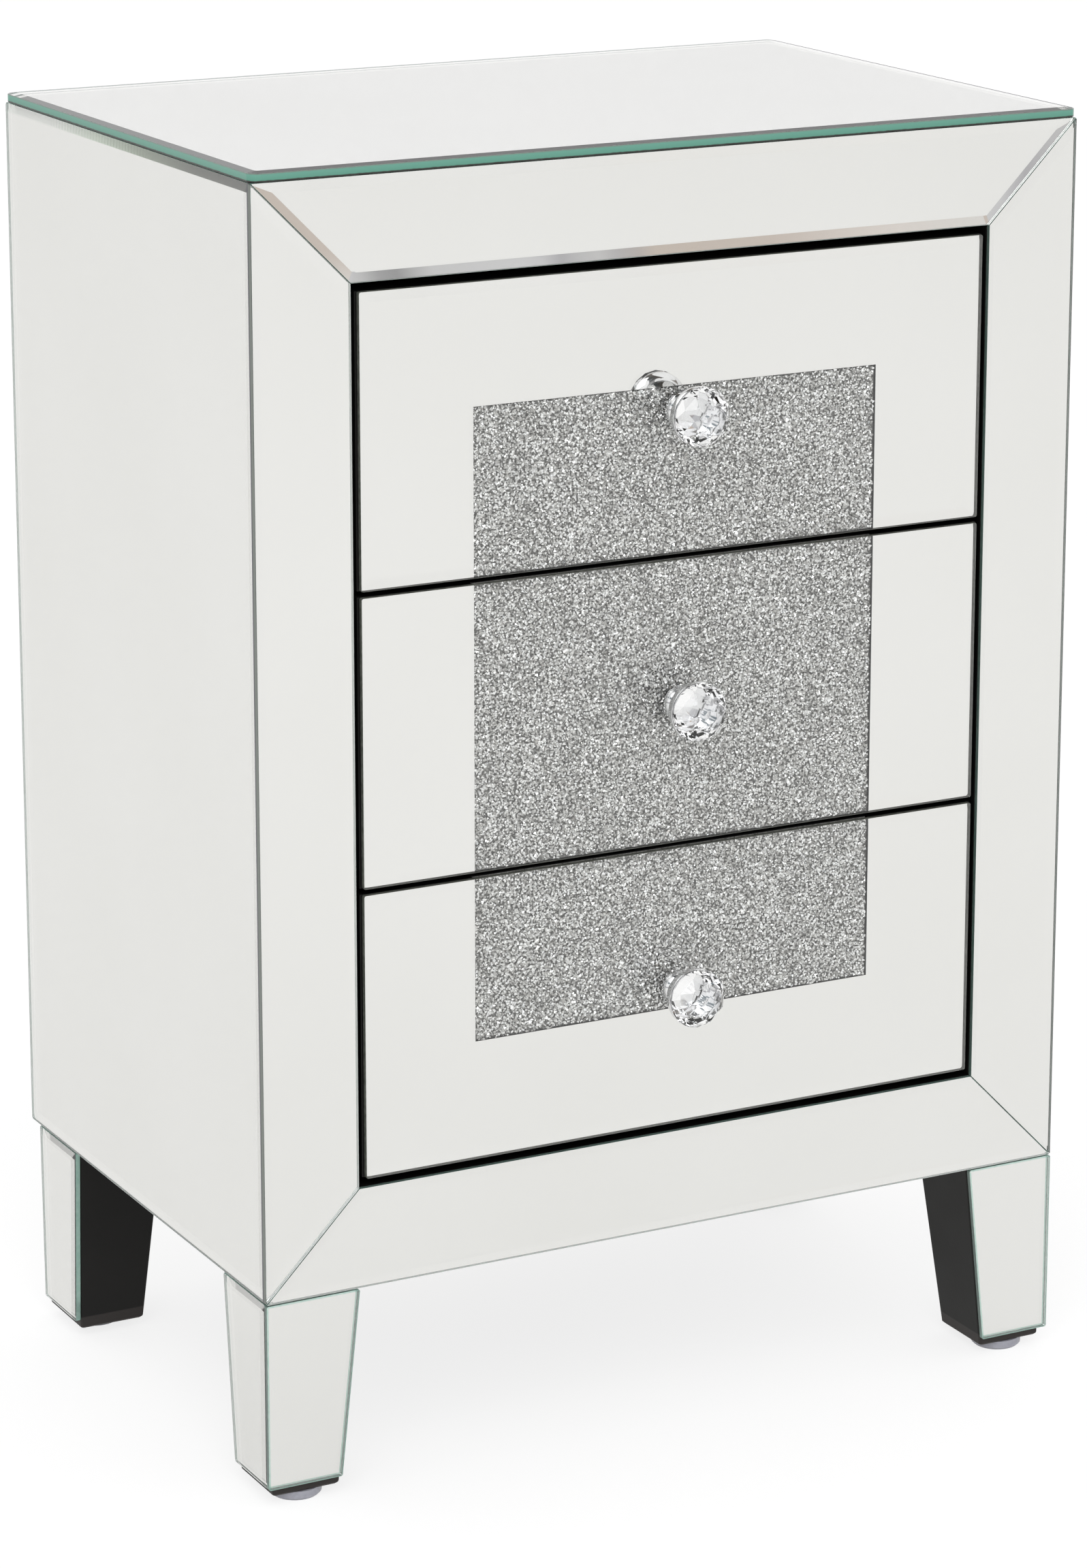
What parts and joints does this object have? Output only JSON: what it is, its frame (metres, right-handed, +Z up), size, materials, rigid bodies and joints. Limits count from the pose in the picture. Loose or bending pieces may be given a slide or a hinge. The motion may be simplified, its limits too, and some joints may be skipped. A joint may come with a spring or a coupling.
{
  "type": "mirrored nightstand",
  "caption": "Narrow nightstand clad in bevelled mirror, with stacked sliding drawers, a crushed crystal front panel, cut crystal knobs and tapered mirrored legs.",
  "frame": {"origin": "centre of the bounding box on the floor, under the glides", "axes": "+X to the right seen from the front, +Y towards the back, +Z up; the drawers open along -Y"},
  "size_m": [0.45, 0.332, 0.6563],
  "materials": {
    "mirror_glass": "silvered float glass with ground bevels and pale green edges",
    "black_board": "board painted satin black",
    "crushed_crystal": "crushed clear crystal bonded in a sheet",
    "cut_crystal": "faceted clear crystal, polished",
    "knob_chrome": "polished chrome plate",
    "zinc_screw": "zinc plated steel",
    "glide_plastic": "moulded pale grey plastic"
  },
  "bodies": {
    "cabinet": {"left_side_board": "black_board", "right_side_board": "black_board", "top_board": "black_board", "bottom_board": "black_board", "back_panel": "black_board", "left_stile": "black_board", "right_stile": "black_board", "top_rail": "black_board", "bottom_rail": "black_board", "front_left_leg": "black_board", "front_right_leg": "black_board", "rear_left_leg": "black_board", "rear_right_leg": "black_board", "top_glass": "mirror_glass", "left_side_mirror": "mirror_glass", "right_side_mirror": "mirror_glass", "top_front_mirror": "mirror_glass", "bottom_front_mirror": "mirror_glass", "left_front_mirror": "mirror_glass", "right_front_mirror": "mirror_glass", "front_left_leg_front_mirror": "mirror_glass", "front_left_leg_side_mirror": "mirror_glass", "front_right_leg_front_mirror": "mirror_glass", "front_right_leg_side_mirror": "mirror_glass", "rear_left_leg_side_mirror": "mirror_glass", "rear_right_leg_side_mirror": "mirror_glass", "front_left_glide": "glide_plastic", "front_right_glide": "glide_plastic", "rear_left_glide": "glide_plastic", "rear_right_glide": "glide_plastic"},
    "bottom_drawer": {"bottom_drawer_front_board": "black_board", "bottom_drawer_mirror": "mirror_glass", "bottom_drawer_crystal_inlay": "crushed_crystal", "bottom_drawer_left_side": "black_board", "bottom_drawer_right_side": "black_board", "bottom_drawer_back": "black_board", "bottom_drawer_floor": "black_board", "bottom_drawer_knob_base": "knob_chrome", "bottom_drawer_knob_crystal": "cut_crystal", "bottom_drawer_knob_screw": "zinc_screw"},
    "middle_drawer": {"middle_drawer_front_board": "black_board", "middle_drawer_mirror": "mirror_glass", "middle_drawer_crystal_inlay": "crushed_crystal", "middle_drawer_left_side": "black_board", "middle_drawer_right_side": "black_board", "middle_drawer_back": "black_board", "middle_drawer_floor": "black_board", "middle_drawer_knob_base": "knob_chrome", "middle_drawer_knob_crystal": "cut_crystal", "middle_drawer_knob_screw": "zinc_screw"},
    "top_drawer": {"top_drawer_front_board": "black_board", "top_drawer_mirror": "mirror_glass", "top_drawer_crystal_inlay": "crushed_crystal", "top_drawer_left_side": "black_board", "top_drawer_right_side": "black_board", "top_drawer_back": "black_board", "top_drawer_floor": "black_board", "top_drawer_knob_base": "knob_chrome", "top_drawer_knob_crystal": "cut_crystal", "top_drawer_knob_screw": "zinc_screw"}
  },
  "joints": [
    {"name": "bottom_drawer_slide", "type": "slide", "parent": "cabinet", "child": "bottom_drawer", "axis": [0, -1, 0], "range_m": [0, 0.19]},
    {"name": "middle_drawer_slide", "type": "slide", "parent": "cabinet", "child": "middle_drawer", "axis": [0, -1, 0], "range_m": [0, 0.19]},
    {"name": "top_drawer_slide", "type": "slide", "parent": "cabinet", "child": "top_drawer", "axis": [0, -1, 0], "range_m": [0, 0.19]}
  ]
}
